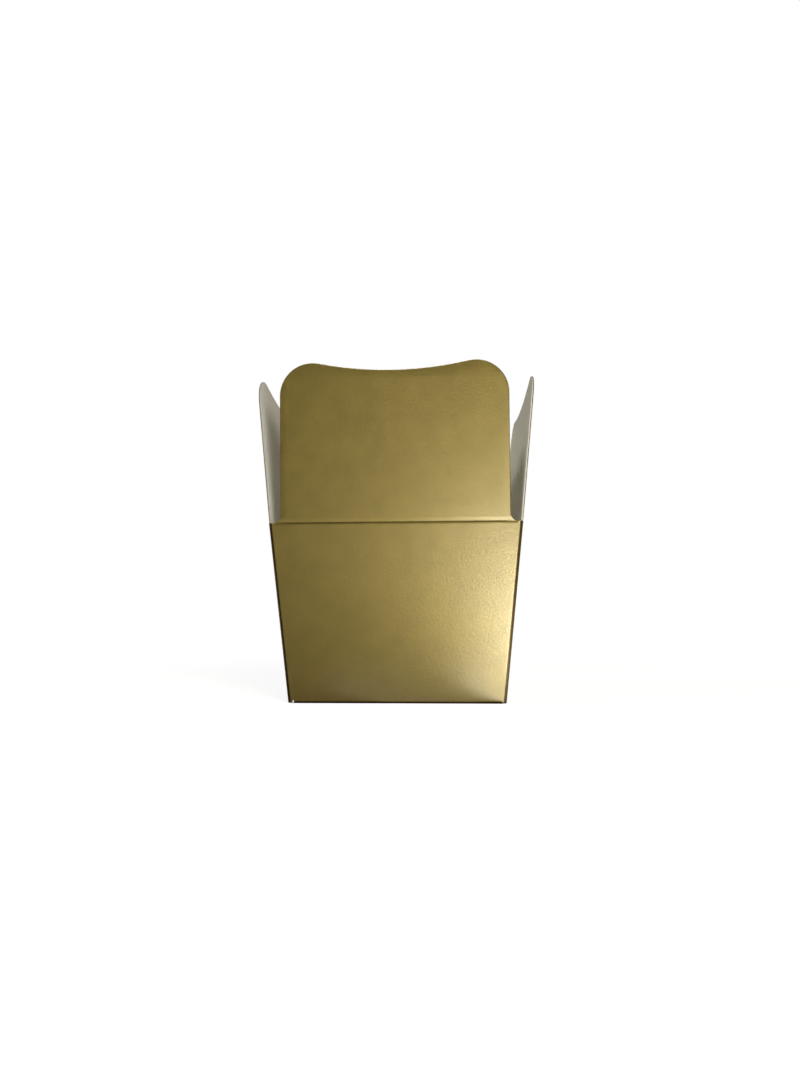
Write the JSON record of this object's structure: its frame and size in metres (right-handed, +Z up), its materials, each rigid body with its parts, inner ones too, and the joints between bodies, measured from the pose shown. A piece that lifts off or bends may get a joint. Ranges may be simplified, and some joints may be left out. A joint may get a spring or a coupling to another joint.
{
  "type": "favor box",
  "caption": "Small tapered favor box of folding board, satin gold outside and white inside, with rounded top flaps that turn on creases and a glued crash-lock base.",
  "frame": {"origin": "middle of the base, on the surface that the box stands on", "axes": "+X to the right as seen from the front, +Y from front to rear, +Z up"},
  "size_m": [0.0642, 0.0644, 0.0759],
  "materials": {
    "gold_board": "satin",
    "white_board": "matte",
    "adhesive": "satin"
  },
  "bodies": {
    "carton": {"front_wall": "gold_board", "right_wall": "gold_board", "rear_wall": "gold_board", "left_wall": "gold_board", "glue_tab": "white_board", "front_base_panel": "gold_board", "rear_base_panel": "gold_board", "front_base_wing": "gold_board", "rear_base_wing": "gold_board", "left_base_flap": "white_board", "right_base_flap": "white_board", "seam_adhesive": "adhesive", "left_base_adhesive": "adhesive", "right_base_adhesive": "adhesive"},
    "front_flap": {"front_flap": "gold_board"},
    "right_flap": {"right_flap": "gold_board"},
    "rear_flap": {"rear_flap": "gold_board"},
    "left_flap": {"left_flap": "gold_board"}
  },
  "joints": [
    {"name": "front_flap_crease", "type": "hinge", "parent": "carton", "child": "front_flap", "pos_m": [0, -0.02827, 0.0401], "axis": [-1, 0, 0], "range_deg": [-84, 93.91]},
    {"name": "right_flap_crease", "type": "hinge", "parent": "carton", "child": "right_flap", "pos_m": [0.02821, 0, 0.0395], "axis": [0, -1, 0], "range_deg": [-84, 95.91]},
    {"name": "rear_flap_crease", "type": "hinge", "parent": "carton", "child": "rear_flap", "pos_m": [0, 0.02827, 0.0401], "axis": [1, 0, 0], "range_deg": [-84, 95.91]},
    {"name": "left_flap_crease", "type": "hinge", "parent": "carton", "child": "left_flap", "pos_m": [-0.02821, 0, 0.0395], "axis": [0, 1, 0], "range_deg": [-84, 97.91]}
  ]
}
